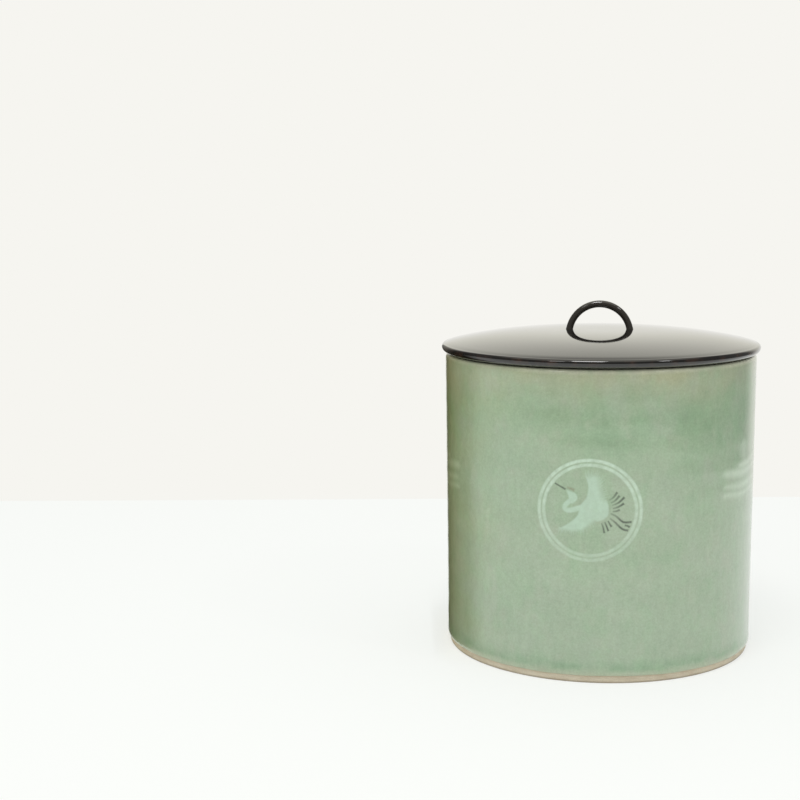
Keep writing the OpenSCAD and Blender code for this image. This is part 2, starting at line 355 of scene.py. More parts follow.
def glaze_shape(angles, r, z):
    outer = r > wall_radius(z) - GLAZE_T / 3 and z < LIP_Z
    inner_floor = abs(z - FLOOR_Z) < LEVEL_TOLERANCE and r < FILLET_X
    radii = r + 0 * angles
    heights = z + 0 * angles
    if outer:
        radii = radii + wall_unevenness(angles, z)
        radii = radii + GLAZE_BEAD * math.exp(-((z - FOOT_H - GLAZE_BEAD_H) / GLAZE_BEAD_W) ** 2)
    edge_low, edge_high = (FOOT_H + reach for reach in GLAZE_EDGE_REACH)
    if r > BASE_R - FOOT_MARGIN and z < edge_high:
        wave = sum(share * np.sin(count * angles + phase) for share, count, phase in EDGE_WAVES)
        heights = heights + GLAZE_EDGE_WAVE * wave * (1 - smoothstep(edge_low, edge_high, z))
    if inner_floor:
        spiral = np.sin(r / FLOOR_SPIRAL_W + angles)
        heights = heights + FLOOR_SPIRAL * spiral * smoothstep(0, FLOOR_SPIRAL_START, r)
    return radii, heights


# Lid
def crown_height(r):
    shoulder = max(0, (r - CROWN_R) / SHOULDER_W + 1) ** 2
    return LID_EDGE_Z + CROWN_RISE * (1 - (r / CROWN_R) ** CROWN_POWER) - SHOULDER_DROP * shoulder


def lid_profile():
    rim_slope = CROWN_POWER * CROWN_RISE / CROWN_R + 2 * SHOULDER_DROP / SHOULDER_W
    crown_slope = math.degrees(math.atan(rim_slope))
    spigot_in = SPIGOT_OUT_R - SPIGOT_W
    soft = LID_CORNER_ROUND
    crown = [(r, crown_height(r)) for r in CROWN_R * np.linspace(1, 0, 90) ** CROWN_SPACING]
    return (
        [(r, LID_Z) for r in np.linspace(0, spigot_in - soft, 30)]
        + arc((spigot_in - soft, LID_Z - soft), soft, 90, 0, 4)
        + arc((spigot_in + soft, SPIGOT_Z + soft), soft, 180, 270, 4)
        + arc((SPIGOT_OUT_R - soft, SPIGOT_Z + soft), soft, -90, 0, 4)
        + arc((SPIGOT_OUT_R + soft, LID_Z - soft), soft, 180, 90, 4)
        + arc((LID_R - LID_UNDER_ROUND, LID_Z + RIM_LIFT + LID_UNDER_ROUND), LID_UNDER_ROUND, -90, 0, 14)
        + arc((CROWN_R, crown_height(CROWN_R) - LID_EDGE_ROUND), LID_EDGE_ROUND, 0, 90 - crown_slope, 14)
        + crown
    )


def handle_mesh():
    """The arch, from just under the crown on one side to the other, with a fillet at each foot."""
    foot = math.asin((crown_height(ARCH_R) - ARCH_Z) / ARCH_R)
    start = foot - HANDLE_SINK
    along = np.linspace(start, math.pi - start, ARCH_STEPS + 1)
    around = np.arange(BAR_STEPS) * 2 * math.pi / BAR_STEPS
    vertices = []
    for a in along:
        above = ARCH_R * (min(a, math.pi - a) - foot)
        fillet = HANDLE_FILLET * math.exp(-max(above, 0) / HANDLE_FILLET_H)
        bar = BAR_R * (1 - BAR_UNEVEN * (1 + math.sin(BAR_WAVES * a + BAR_PHASE))) + fillet
        for b in around:
            reach = ARCH_R + bar * math.cos(b)
            vertices.append((reach * math.cos(a), bar * math.sin(b), ARCH_Z + reach * math.sin(a)))
    faces = []
    for i in range(ARCH_STEPS):
        near, far = i * BAR_STEPS, (i + 1) * BAR_STEPS
        for j in range(BAR_STEPS):
            k = (j + 1) % BAR_STEPS
            faces.append([near + j, near + k, far + k, far + j])
    faces.append(list(range(BAR_STEPS)))
    faces.append(list(range(ARCH_STEPS * BAR_STEPS, (ARCH_STEPS + 1) * BAR_STEPS)))
    return vertices, faces


# Slip: each film is cut to the outline of its node's outer face.
# Outlines are unrolled, to millimetres along the wall and up it
def unrolled(points):
    return np.column_stack([np.arctan2(points[:, 0], -points[:, 1]) * MOUTH_R, points[:, 2]])


def on_wall(flat, height):
    angles = flat[:, 0] / MOUTH_R
    radii = wall_radius(flat[:, 1]) + wall_unevenness(angles, flat[:, 1]) + height
    return np.column_stack([radii * np.sin(angles), -radii * np.cos(angles), flat[:, 1]])


def outer_outline(name):
    """Outline of a slip node's outer face, unrolled, as an array of segments."""
    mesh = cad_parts[name].data
    number = {}
    corner_of = []
    for vertex in mesh.vertices:
        point = tuple(round(c / MM, FACE_DIGITS) for c in vertex.co)
        corner_of.append(number.setdefault(point, len(number)))
    points = np.array(list(number))
    outer = abs(np.hypot(points[:, 0], points[:, 1]) - wall_radius(points[:, 2])) < FACE_TOLERANCE
    uses = {}
    for polygon in mesh.polygons:
        corners = [corner_of[v] for v in polygon.vertices]
        if all(outer[c] for c in corners):
            for edge in zip(corners, corners[1:] + corners[:1]):
                key = tuple(sorted(edge))
                uses[key] = uses.get(key, 0) + 1
    edges = [edge for edge, count in uses.items() if count == 1 and edge[0] != edge[1]]
    return unrolled(points)[np.array(edges)]


def distance(points, segments):
    nearest = np.full(len(points), np.inf)
    for start, end in segments:
        run = end - start
        t = np.clip((points - start) @ run / max(run @ run, TINY), 0, 1)
        nearest = np.minimum(nearest, np.hypot(*(points - start - t[:, None] * run).T))
    return nearest


def inside(points, segments):
    crossings = np.zeros(len(points), int)
    for (x0, y0), (x1, y1) in segments:
        if y0 != y1:
            level = (y0 > points[:, 1]) != (y1 > points[:, 1])
            meets = x0 + (points[:, 1] - y0) * (x1 - x0) / (y1 - y0)
            crossings += level & (points[:, 0] < meets)
    return crossings % 2 == 1


def inward(points, segments):
    """Distance from an outline, above zero inside it."""
    return np.where(inside(points, segments), 1, -1) * distance(points, segments)


def route_segments(route):
    points = np.array(route)
    return np.stack([points[:-1], points[1:]], axis=1)


def about_roundel(flat):
    middle = unrolled(node_points("roundel_outer_ring"))[:, 0]
    return flat - np.array([(middle.min() + middle.max()) / 2, ROUNDEL_Z])


def feathers(route, count, first_way, last_way):
    """Seeded strokes along a wing's trailing edge: root, tip and width of each."""
    dice = random.Random(FEATHER_SEED)
    points = np.array(route)
    travelled = np.concatenate([[0], np.cumsum(np.hypot(*np.diff(points, axis=0).T))])
    strokes = []
    for i in range(count):
        share = (i + dice.uniform(*FEATHER_SPREAD)) / count
        along = share * travelled[-1]
        edge = np.array([np.interp(along, travelled, points[:, axis]) for axis in (0, 1)])
        way = np.array(first_way) * (1 - share) + np.array(last_way) * share
        way = way / np.hypot(*way)
        root = edge - FEATHER_ROOT * way
        tip = edge + dice.uniform(*FEATHER_L) * way
        strokes.append((root, tip, dice.uniform(*FEATHER_W)))
    return strokes


def feather_strength(drawn, root, tip, width):
    run = tip - root
    t = np.clip((drawn - root) @ run / (run @ run), 0, 1)
    aside = np.hypot(*(drawn - root - t[:, None] * run).T)
    half = width / 2 * (1 - FEATHER_TAPER * t)
    soft_in, soft_out = FEATHER_SOFT
    return FEATHER_STRENGTH * (1 - t) * (1 - smoothstep(half - soft_in, half + soft_out, aside))


def crane_strength(flat, depth):
    """How strongly the crane shows: thinner towards its trailing edges, which end in feathers."""
    drawn = about_roundel(flat)
    lower = smoothstep(*LOWER_THINNING, distance(drawn, route_segments(LOWER_WING_EDGE)))
    upper = smoothstep(*UPPER_THINNING, distance(drawn, route_segments(UPPER_WING_EDGE)))
    strength = smoothstep(-CRANE_EDGE, CRANE_EDGE, depth) * lower * upper
    strokes = feathers(LOWER_WING_EDGE, *LOWER_FEATHERS) + feathers(UPPER_WING_EDGE, *UPPER_FEATHERS)
    for stroke in strokes:
        strength = np.maximum(strength, feather_strength(drawn, *stroke))
    return strength


def soft_strength(edge):
    return lambda flat, depth: smoothstep(-edge, edge, depth)


def ring_strength(flat, depth):
    """Rings that are drawn fuller at the top than at the bottom."""
    share = np.clip((flat[:, 1] - ring_low.z) / (ring_high.z - ring_low.z), 0, 1)
    return smoothstep(-RING_EDGE, RING_EDGE, depth) * (RING_THIN + (1 - RING_THIN) * share)


def cloud_strength(flat, depth):
    """Wisps that come up softly from their front ends."""
    aside = abs(flat[:, 0])
    front = aside.min()
    return smoothstep(-CLOUD_EDGE, CLOUD_EDGE, depth) * smoothstep(front, front + CLOUD_FADE, aside)


def stroke_strength(near, far):
    """Strength of brush strokes that are faint near the body and dark at their tips."""
    def at(flat, depth):
        reach = np.hypot(*about_roundel(flat).T)
        share = STROKE_FAINT + (1 - STROKE_FAINT) * smoothstep(near, far, reach)
        return smoothstep(-LINE_EDGE, LINE_EDGE, depth) * share
    return at


def grid_cells(shape):
    """Corners of each cell of a grid of points that are numbered row by row."""
    number = np.arange(shape[0] * shape[1]).reshape(shape)
    corners = [number[:-1, :-1], number[:-1, 1:], number[1:, 1:], number[1:, :-1]]
    return np.stack(corners, axis=-1).reshape(-1, 4)


def film_mesh(name, step, reach, strength_at):
    """A closed film over a node's outer face and its soft edge, and the slip's strength at each vertex."""
    segments = outer_outline(name)
    low = segments.min(axis=(0, 1)) - reach
    high = segments.max(axis=(0, 1)) + reach
    along, up = (np.arange(low[axis], high[axis] + step, step) for axis in (0, 1))
    columns, rows = np.meshgrid(along, up)
    flat = np.column_stack([columns.ravel(), rows.ravel()])
    strength = strength_at(flat, inward(flat, segments))
    cells = grid_cells(columns.shape)
    cells = cells[(strength > SLIP_LEAST)[cells].any(axis=1)]
    used, cells = np.unique(cells, return_inverse=True)
    cells = cells.reshape(-1, 4)
    flat, strength = flat[used], strength[used]
    top = on_wall(flat, FILM_EDGE_T + (FILM_T - FILM_EDGE_T) * strength)
    bottom = on_wall(flat, FILM_BACK)
    sides = {(int(a), int(b)) for cell in cells for a, b in zip(cell, np.roll(cell, -1))}
    n = len(flat)
    faces = cells.tolist()
    faces += (cells[:, ::-1] + n).tolist()
    faces += [[b, a, a + n, b + n] for a, b in sorted(sides) if (b, a) not in sides]
    return np.vstack([top, bottom]), faces, np.concatenate([strength, strength])


def slip_piece(name, replaced, material, slot, step, reach, strength_at):
    vertices, faces, strength = film_mesh(replaced, step, reach, strength_at)
    piece = new_piece(name, vertices, faces, material, "jar", slot, [replaced])
    layer = piece.data.attributes.new(SLIP_LAYER, "FLOAT", "POINT")
    layer.data.foreach_set("value", strength.astype(np.float32))


# Materials
EVEN = (1, 1, 1)
SHADE_RANGE = (0.25, 0.75)
# Colour sockets of the mix node
MIX_SHARE = 0
MIX_A = 6
MIX_B = 7
MIX_RESULT = 2


def linear(colour):
    """A display colour of 0 to 255 as the light that it stands for."""
    shares = [c / 255 for c in colour]
    return tuple(c / 12.92 if c <= 0.04045 else ((c + 0.055) / 1.055) ** 2.4 for c in shares) + (1.0,)


def new_material(name):
    material = bpy.data.materials.new(name)
    material.use_nodes = True
    tree = material.node_tree
    return material, tree, tree.nodes["Principled BSDF"]


def fill(tree, made, inputs):
    """Links a node's inputs to sockets, or sets them to values."""
    for name, value in inputs.items():
        if isinstance(value, bpy.types.NodeSocket):
            tree.links.new(value, made.inputs[name])
        else:
            made.inputs[name].default_value = value


def node(tree, kind, inputs=None, **settings):
    made = tree.nodes.new(kind)
    for name, value in settings.items():
        setattr(made, name, value)
    fill(tree, made, inputs or {})
    return made


def place(tree):
    return node(tree, "ShaderNodeTexCoord").outputs["Object"]


def height_over_foot(tree):
    return node(tree, "ShaderNodeSeparateXYZ", {0: place(tree)}).outputs["Z"]


def noise(tree, size_mm, stretch=EVEN, detail=3.0, roughness=0.55):
    mapping = node(tree, "ShaderNodeMapping", {"Vector": place(tree), "Scale": stretch})
    inputs = {"Vector": mapping.outputs[0], "Scale": 1 / (size_mm * MM)}
    inputs.update({"Detail": detail, "Roughness": roughness})
    return node(tree, "ShaderNodeTexNoise", inputs).outputs["Fac"]


def maths(tree, operation, a, b):
    return node(tree, "ShaderNodeMath", {0: a, 1: b}, operation=operation).outputs[0]


def ranged(tree, value, low, high, to_low, to_high, smooth=True):
    kind = "SMOOTHSTEP" if smooth else "LINEAR"
    inputs = {"Value": value, "From Min": low, "From Max": high, "To Min": to_low, "To Max": to_high}
    return node(tree, "ShaderNodeMapRange", inputs, interpolation_type=kind).outputs["Result"]


def faded(tree, length, span_mm, to_low, to_high):
    """A smooth change between two lengths in millimetres."""
    return ranged(tree, length, *(end * MM for end in span_mm), to_low, to_high)


def mixed(tree, share, a, b, blend="MIX"):
    inputs = {MIX_SHARE: share, MIX_A: a, MIX_B: b}
    made = node(tree, "ShaderNodeMix", inputs, data_type="RGBA", blend_type=blend)
    return made.outputs[MIX_RESULT]


def ramp(tree, value, stops):
    made = node(tree, "ShaderNodeValToRGB", {"Fac": value})
    elements = made.color_ramp.elements
    made.color_ramp.interpolation = "CARDINAL"
    while len(elements) < len(stops):
        elements.new(1.0)
    for element, (position, colour) in zip(elements, stops):
        element.position = position
        element.color = linear(colour)
    return made.outputs["Color"]


def shaded(tree, colour, value, low, high):
    """A colour made darker and lighter by a value round one half."""
    grey = ranged(tree, value, *SHADE_RANGE, low, high, smooth=False)
    combined = node(tree, "ShaderNodeCombineColor", {"Red": grey, "Green": grey, "Blue": grey})
    return mixed(tree, 1.0, colour, combined.outputs[0], "MULTIPLY")


def bumped(tree, shader, value, height_mm, strength):
    inputs = {"Height": value, "Distance": height_mm * MM, "Strength": strength}
    fill(tree, shader, {"Normal": node(tree, "ShaderNodeBump", inputs).outputs["Normal"]})


# Glaze tones from the foot to the lip: height in millimetres and display colour. Those at 3 and 5 are
# paler, a painted highlight on the glaze's lower edge
GLAZE_TONES = [
    (3, (174, 181, 157)), (5, (168, 179, 153)), (8, (158, 176, 150)), (16, (158, 176, 151)),
    (70, (158, 177, 150)), (108, (157, 177, 149)), (117, (159, 178, 150)), (123, (154, 175, 145)),
    (130, (148, 171, 139)), (139, (149, 171, 139)), (147, (156, 171, 141)), (152, (161, 171, 141)),
    (157, (164, 169, 138)), (160, (165, 169, 137)),
]
# Drift of these levels up and down in millimetres, heights between which it comes up, its patches
LEVEL_DRIFT = 12
LEVEL_DRIFT_RISE = (12, 50)
LEVEL_DRIFT_RANGE = (0.2, 0.8)
LEVEL_PATCH = (55, (1, 1, 1.6))
# Glaze that has gathered over the foot, and that has run thin on the lip: colour, share, heights, patches
FOOT_POOL = (128, 158, 126)
FOOT_POOL_SHARE = 0.75
FOOT_POOL_RISE = (5, 8)
FOOT_POOL_FALL = (8, 14)
FOOT_POOL_PATCH = (15, (1, 1, 2))
FOOT_POOL_PATCHY = (0.35, 0.6, 0.25, 1.0)
LIP_GLAZE = (208, 210, 184)
LIP_SHARE = 0.85
LIP_PALING = (155.8, 158.6)
GREEN_POOL_AND_PAINTED_REFLECTION = (126, 160, 126)
OLIVE_POOL_AND_PAINTED_SHADE = (156, 164, 116)
SPOT_CORE = 0.15
SPOT_PATCH = (22, (1, 1, 1.5))
SPOT_PATCHY = (0.3, 0.7, 0.35, 1.0)
# Drifts of tone in the glaze: colour, size of a patch in millimetres, stretch, greatest share
DRIFT_RANGE = (0.45, 0.75)
GLAZE_DRIFTS = [
    ((172, 180, 164), 17, (1, 1, 0.7), 0.3), ((146, 178, 140), 13, (1, 1, 0.7), 0.3),
    ((172, 178, 158), 9, (1, 1, 0.9), 0.3), ((146, 178, 142), 7, (1, 1, 0.9), 0.3),
]
# Fine shades of the glaze: size of a patch in millimetres, stretch, detail, change to darker and lighter
GLAZE_SHADES = [
    (30, (1, 1, 2.2), 4.0, 0.04), (5, (1.6, 1.6, 0.5), 3.0, 0.045),
    (2.4, EVEN, 2.0, 0.05), (0.9, EVEN, 2.0, 0.075),
]
# Places on the wall with another tone, some of it painted light: degrees from the front, height and reach
# in millimetres, share, tone
GLAZE_POOLS_AND_PAINTED_LIGHT = [
    (8, 130, 30, 0.4, GREEN_POOL_AND_PAINTED_REFLECTION), (-40, 116, 20, 0.34, GREEN_POOL_AND_PAINTED_REFLECTION), (36, 128, 26, 0.42, GREEN_POOL_AND_PAINTED_REFLECTION),
    # The green place at 57 degrees is partly glaze tone and partly a painted dark reflection
    (57, 126, 28, 0.64, GREEN_POOL_AND_PAINTED_REFLECTION), (-6, 88, 24, 0.14, GREEN_POOL_AND_PAINTED_REFLECTION), (-50, 30, 30, 0.1, GREEN_POOL_AND_PAINTED_REFLECTION),
    # The olive places are partly glaze tone and partly painted warm shade on the left side
    (-58, 128, 46, 0.34, OLIVE_POOL_AND_PAINTED_SHADE), (-58, 70, 46, 0.34, OLIVE_POOL_AND_PAINTED_SHADE), (-58, 18, 40, 0.3, OLIVE_POOL_AND_PAINTED_SHADE),
    (-38, 156, 30, 0.3, OLIVE_POOL_AND_PAINTED_SHADE),
]
# Gloss of the glaze, and its ripple: patches, then height in millimetres and strength
GLAZE_GLOSS = {"Roughness": 0.3, "IOR": 1.45, "Coat Weight": 0.8, "Coat Roughness": 0.1}
GLAZE_RIPPLE_PATCH = (4, EVEN, 2.0)
GLAZE_RIPPLE = (0.05, 0.25)
# Slips: colour, how much it covers the glaze, and the least share of that in its thin patches
SLIPS = {
    "white_slip": ((192, 219, 199), 0.6, 0.78),
    "white_slip.rings": ((202, 224, 204), 0.82, 0.5),
    "white_slip.clouds": ((216, 233, 212), 0.36, 0.78),
    "dark_slip": ((48, 56, 46), 0.8, 0.78),
    "rust_slip": ((118, 84, 62), 0.48, 0.78),
}
SLIP_PATCH = (3.2, EVEN, 4.0)
SLIP_RANGE = (0.3, 0.7)
SLIP_GRAIN = (1.4, EVEN, 3.0)
SLIP_SHADE = (0.95, 1.05)
# Bare clay, toasted along the glaze, with painted shade along the foot's lower edge: heights in millimetres
CLAY_TONES = [(0.25, (194, 181, 158)), (0.5, (207, 196, 174)), (0.8, (215, 206, 186))]
CLAY_PATCH = (9, (1, 1, 3), 4.0)
CLAY_GROG = (0.5, EVEN, 4.0, 0.7)
CLAY_SHADE = (0.88, 1.1)
CLAY_ROUGHNESS = 0.82
CLAY_GRAIN = (0.12, 0.5)
TOAST_TONE = (166, 134, 102)
TOAST_SHARE = 0.35
TOAST_RISE = (FOOT_H - 1.2, FOOT_H + 0.2)
FOOT_SHADE_TONE = (96, 80, 62)
FOOT_SHADE_SHARE = 0.5
FOOT_SHADE_FALL = (0.3, 1.5)
# Lacquer: two tones that it drifts between, gloss, ripple, and its worn rim. The handle's tones are lighter
# than the lid's, a painted sheen on the same black lacquer
LID_LACQUER = ((10, 9, 9), (19, 17, 15))
HANDLE_LACQUER_PAINTED_SHEEN = ((42, 39, 34), (54, 50, 44))
LACQUER_PATCH = (14, EVEN, 4.0)
LACQUER_HAZE = (18, EVEN, 5.0)
LACQUER_ROUGHNESS = (0.3, 0.7, 0.03, 0.08)
LACQUER_GLOSS = {"IOR": 1.5, "Coat Weight": 0.75, "Coat Roughness": 0.04}
LACQUER_RIPPLE_PATCH = (11, EVEN, 1.0)
LACQUER_RIPPLE = (0.012, 0.15)
WORN_TONE = (58, 38, 28)
WORN_W = 1.2
WORN_PATCH = (7, EVEN, 5.0)
WORN_PATCHY = (0.45, 0.7, 0.0, 0.7)


def wall_place(turn, z):
    angle = math.radians(turn)
    r = wall_radius(z)
    return Vector((r * math.sin(angle), -r * math.cos(angle), z)) * MM


def glaze_tone(tree):
    """The glaze's tone by height: painted highlight on its lower edge, darker where it has gathered over
    the foot, pale on the lip.
    """
    height = height_over_foot(tree)
    most = LEVEL_DRIFT * MM
    drift = ranged(tree, noise(tree, *LEVEL_PATCH), *LEVEL_DRIFT_RANGE, -most, most, smooth=False)
    drift = maths(tree, "MULTIPLY", drift, faded(tree, height, LEVEL_DRIFT_RISE, 0.0, 1.0))
    level = maths(tree, "DIVIDE", maths(tree, "ADD", height, drift), JAR_H * MM)
    colour = ramp(tree, level, [(z / JAR_H, tone) for z, tone in GLAZE_TONES])
    rise = faded(tree, height, FOOT_POOL_RISE, 0.0, FOOT_POOL_SHARE)
    pooled = maths(tree, "MULTIPLY", rise, faded(tree, height, FOOT_POOL_FALL, 1.0, 0.0))
    patchy = ranged(tree, noise(tree, *FOOT_POOL_PATCH), *FOOT_POOL_PATCHY)
    colour = mixed(tree, maths(tree, "MULTIPLY", pooled, patchy), colour, linear(FOOT_POOL))
    return mixed(tree, faded(tree, height, LIP_PALING, 0.0, LIP_SHARE), colour, linear(LIP_GLAZE))


def celadon_colour(tree):
    colour = glaze_tone(tree)
    position = place(tree)
    patchy = ranged(tree, noise(tree, *SPOT_PATCH), *SPOT_PATCHY)
    # Some of these places are painted light: warm shade on the left and a dark reflection on the right
    for turn, z, reach, strength, tone in GLAZE_POOLS_AND_PAINTED_LIGHT:
        inputs = {0: position, 1: wall_place(turn, z)}
        gap = node(tree, "ShaderNodeVectorMath", inputs, operation="DISTANCE").outputs["Value"]
        spot_share = faded(tree, gap, (SPOT_CORE * reach, reach), strength, 0.0)
        colour = mixed(tree, maths(tree, "MULTIPLY", spot_share, patchy), colour, linear(tone))
    for tone, size, stretch, most in GLAZE_DRIFTS:
        drift = ranged(tree, noise(tree, size, stretch), *DRIFT_RANGE, 0.0, most)
        colour = mixed(tree, drift, colour, linear(tone))
    for size, stretch, detail, change in GLAZE_SHADES:
        colour = shaded(tree, colour, noise(tree, size, stretch, detail), 1 - change, 1 + change)
    return colour


def finish_glaze(tree, shader, colour):
    fill(tree, shader, {"Base Color": colour, **GLAZE_GLOSS})
    bumped(tree, shader, noise(tree, *GLAZE_RIPPLE_PATCH), *GLAZE_RIPPLE)


def celadon_material():
    material, tree, shader = new_material("celadon")
    finish_glaze(tree, shader, celadon_colour(tree))
    return material


def slip_material(name, tone, cover, thinnest):
    """Slip seen through the glaze: the glaze's own colour, covered where the slip is thick."""
    material, tree, shader = new_material(name)
    strength = node(tree, "ShaderNodeAttribute", attribute_name=SLIP_LAYER).outputs["Fac"]
    patchy = ranged(tree, noise(tree, *SLIP_PATCH), *SLIP_RANGE, thinnest, 1.0)
    share = maths(tree, "MULTIPLY", strength, maths(tree, "MULTIPLY", patchy, cover))
    glaze = celadon_colour(tree)
    slip = shaded(tree, linear(tone), noise(tree, *SLIP_GRAIN), *SLIP_SHADE)
    finish_glaze(tree, shader, mixed(tree, share, glaze, slip))
    return material


def clay_material():
    material, tree, shader = new_material("bare_clay")
    grog = noise(tree, *CLAY_GROG)
    colour = shaded(tree, ramp(tree, noise(tree, *CLAY_PATCH), CLAY_TONES), grog, *CLAY_SHADE)
    height = height_over_foot(tree)
    toast = faded(tree, height, TOAST_RISE, 0.0, TOAST_SHARE)
    colour = mixed(tree, toast, colour, linear(TOAST_TONE))
    # Painted shade: the clay darkens towards the foot's lower edge, where it meets the floor
    foot_shade = faded(tree, height, FOOT_SHADE_FALL, FOOT_SHADE_SHARE, 0.0)
    colour = mixed(tree, foot_shade, colour, linear(FOOT_SHADE_TONE))
    fill(tree, shader, {"Base Color": colour, "Roughness": CLAY_ROUGHNESS})
    bumped(tree, shader, grog, *CLAY_GRAIN)
    return material


def worn_share(tree):
    """Where the lid's rim has worn towards the brown under the lacquer."""
    position = node(tree, "ShaderNodeSeparateXYZ", {0: place(tree)}).outputs
    squares = [maths(tree, "MULTIPLY", position[axis], position[axis]) for axis in "XY"]
    radius = maths(tree, "SQRT", maths(tree, "ADD", *squares), 0.0)
    at_rim = faded(tree, radius, (LID_R - WORN_W, LID_R), 0.0, 1.0)
    patchy = ranged(tree, noise(tree, *WORN_PATCH), *WORN_PATCHY)
    return maths(tree, "MULTIPLY", at_rim, patchy)


def lacquer_material(name, tones, rim):
    material, tree, shader = new_material(name)
    colour = mixed(tree, noise(tree, *LACQUER_PATCH), *(linear(tone) for tone in tones))
    if rim:
        colour = mixed(tree, worn_share(tree), colour, linear(WORN_TONE))
    rough = ranged(tree, noise(tree, *LACQUER_HAZE), *LACQUER_ROUGHNESS)
    fill(tree, shader, {"Base Color": colour, "Roughness": rough, **LACQUER_GLOSS})
    bumped(tree, shader, noise(tree, *LACQUER_RIPPLE_PATCH), *LACQUER_RIPPLE)
    return material


# Pieces
celadon = celadon_material()
slips = {name: slip_material(name, *look) for name, look in SLIPS.items()}
lid_lacquer = lacquer_material("lacquer_lid", LID_LACQUER, True)
# The handle's lacquer is painted lighter than the lid's: a painted sheen
handle_lacquer_painted_sheen = lacquer_material("lacquer_handle_painted_sheen", HANDLE_LACQUER_PAINTED_SHEEN, False)
clay_mesh = turned(clay_profile(), clay_shape)
glaze_mesh = turned(glaze_profile(), glaze_shape, closed=True)
new_piece("jar_clay", *clay_mesh, clay_material(), "jar", "clay", ["jar_body"])
new_piece("glaze_coat", *glaze_mesh, celadon, "jar", "celadon", ["celadon_glaze"])
new_piece("lid_disc", *turned(lid_profile()), lid_lacquer, "lid", "lacquer", ["lid_board"])
new_piece("lid_loop", *handle_mesh(), handle_lacquer_painted_sheen, "lid", "lacquer", ["lid_handle"])

# Looks of the inlays: spacing of the film's points, reach of its soft edge, strength
ring_look = (RING_STEP, RING_EDGE, ring_strength)
bill_look = (LINE_STEP, LINE_EDGE, soft_strength(LINE_EDGE))
tail_look = (LINE_STEP, LINE_EDGE, stroke_strength(*TAIL_RISE))
leg_look = (LINE_STEP, LINE_EDGE, stroke_strength(*LEG_RISE))
wing_look = (LINE_STEP, LINE_EDGE, stroke_strength(*WING_RISE))
crest_look = (LINE_STEP, CREST_EDGE, soft_strength(CREST_EDGE))
crane_look = (CRANE_STEP, FEATHER_L[1], crane_strength)
cloud_look = (CLOUD_STEP, CLOUD_EDGE, cloud_strength)
# Inlays: piece, node that it replaces, material, slot, look
INLAYS = [
    ("inlay_outer_ring", "roundel_outer_ring", "white_slip.rings", "white_slip", ring_look),
    ("inlay_inner_ring", "roundel_inner_ring", "white_slip.rings", "white_slip", ring_look),
    ("inlay_crane", "crane_white_slip", "white_slip", "white_slip", crane_look),
    ("inlay_bill", "crane_bill", "dark_slip", "dark_slip", bill_look),
    ("inlay_crest", "crane_crest", "rust_slip", "rust_slip", crest_look),
    ("inlay_tail", "crane_tail", "dark_slip", "dark_slip", tail_look),
    ("inlay_legs", "crane_legs", "dark_slip", "dark_slip", leg_look),
    ("inlay_wing_strokes", "crane_wing_strokes", "dark_slip", "dark_slip", wing_look),
    ("inlay_cloud_left", "cloud_left", "white_slip.clouds", "white_slip", cloud_look),
    ("inlay_cloud_right", "cloud_right", "white_slip.clouds", "white_slip", cloud_look),
]
for name, replaced, material, slot, look in INLAYS:
    slip_piece(name, replaced, slips[material], slot, *look)


# Stage: a pale floor that ends in a straight line at the back, and a backdrop, which is the world's colour
FLOOR_BACK = [(-0.4568, 0.319), (0.1427, 0.3863)]
FLOOR_LEFT = -2.5
FLOOR_RIGHT = 0.56
FLOOR_FRONT = -0.77
FLOOR_COLOUR = (250, 252, 249)
FLOOR_GLOW = 0.68
FLOOR_GLOSS = {"Roughness": 0.9, "Specular IOR Level": 0.1}
BACKDROP_COLOUR = (246, 245, 240)
HIGH_BACKDROP_COLOUR = (244, 242, 230)
HIGH_FADE = (0.0, 0.2)
FRONT_DIM = 0.2
FRONT_FADE = (0.62, 0.88)
CEILING_FADE = (0.7, 0.9)
ROOM_LIGHT = 0.79
WHITE = (1.0, 1.0, 1.0, 1.0)
# Lamps: place and size in metres, power in watts. The two small ones give glints on the handle
LAMPS = {
    "key": ((-0.12, -0.55, 1.35), 0.38, 4.6),
    "glint_right": ((0.53, -0.37, 0.8), 0.11, 0.45),
    "glint_left": ((-0.37, -0.55, 0.78), 0.15, 0.27),
}
LAMPS_AIM = Vector((0, 0, 0.08))
# Card: colours for light and for reflections, near end, turn, length, and a toe that leans to the jar.
# Then where it fades in from its ends, its foot and its top, and how far it is seen. Metres and degrees
CARD_COLOUR = (220, 212, 178)
CARD_MIRROR_COLOUR = (42, 38, 26)
CARD_END = Vector((-0.0845, -0.06, 0.0))
CARD_TURN = -7.5
CARD_L = 0.11
CARD_TOE = 0.006
CARD_TOE_H = 0.01
CARD_FADE_END = 0.022
CARD_FADE_LOW = (-0.002, 0.014)
CARD_MIRROR_LOW = (-0.004, 0.001)
CARD_FADE_HIGH = (0.15, 0.2)
CARD_REACH = 0.08
CARD_NEAR = 0.7
CARD_STEPS = 36
CARD_LAYER = "card"


def seen_straight(tree):
    """1 for what the camera sees straight, mirrored or through glass, and 0 for what only lights."""
    path = node(tree, "ShaderNodeLightPath").outputs
    mirrored = maths(tree, "MAXIMUM", path["Is Glossy Ray"], path["Is Transmission Ray"])
    return maths(tree, "MAXIMUM", path["Is Camera Ray"], mirrored)


def floor_edge_y(x):
    (x0, y0), (x1, y1) = FLOOR_BACK
    return y0 + (y1 - y0) * (x - x0) / (x1 - x0)


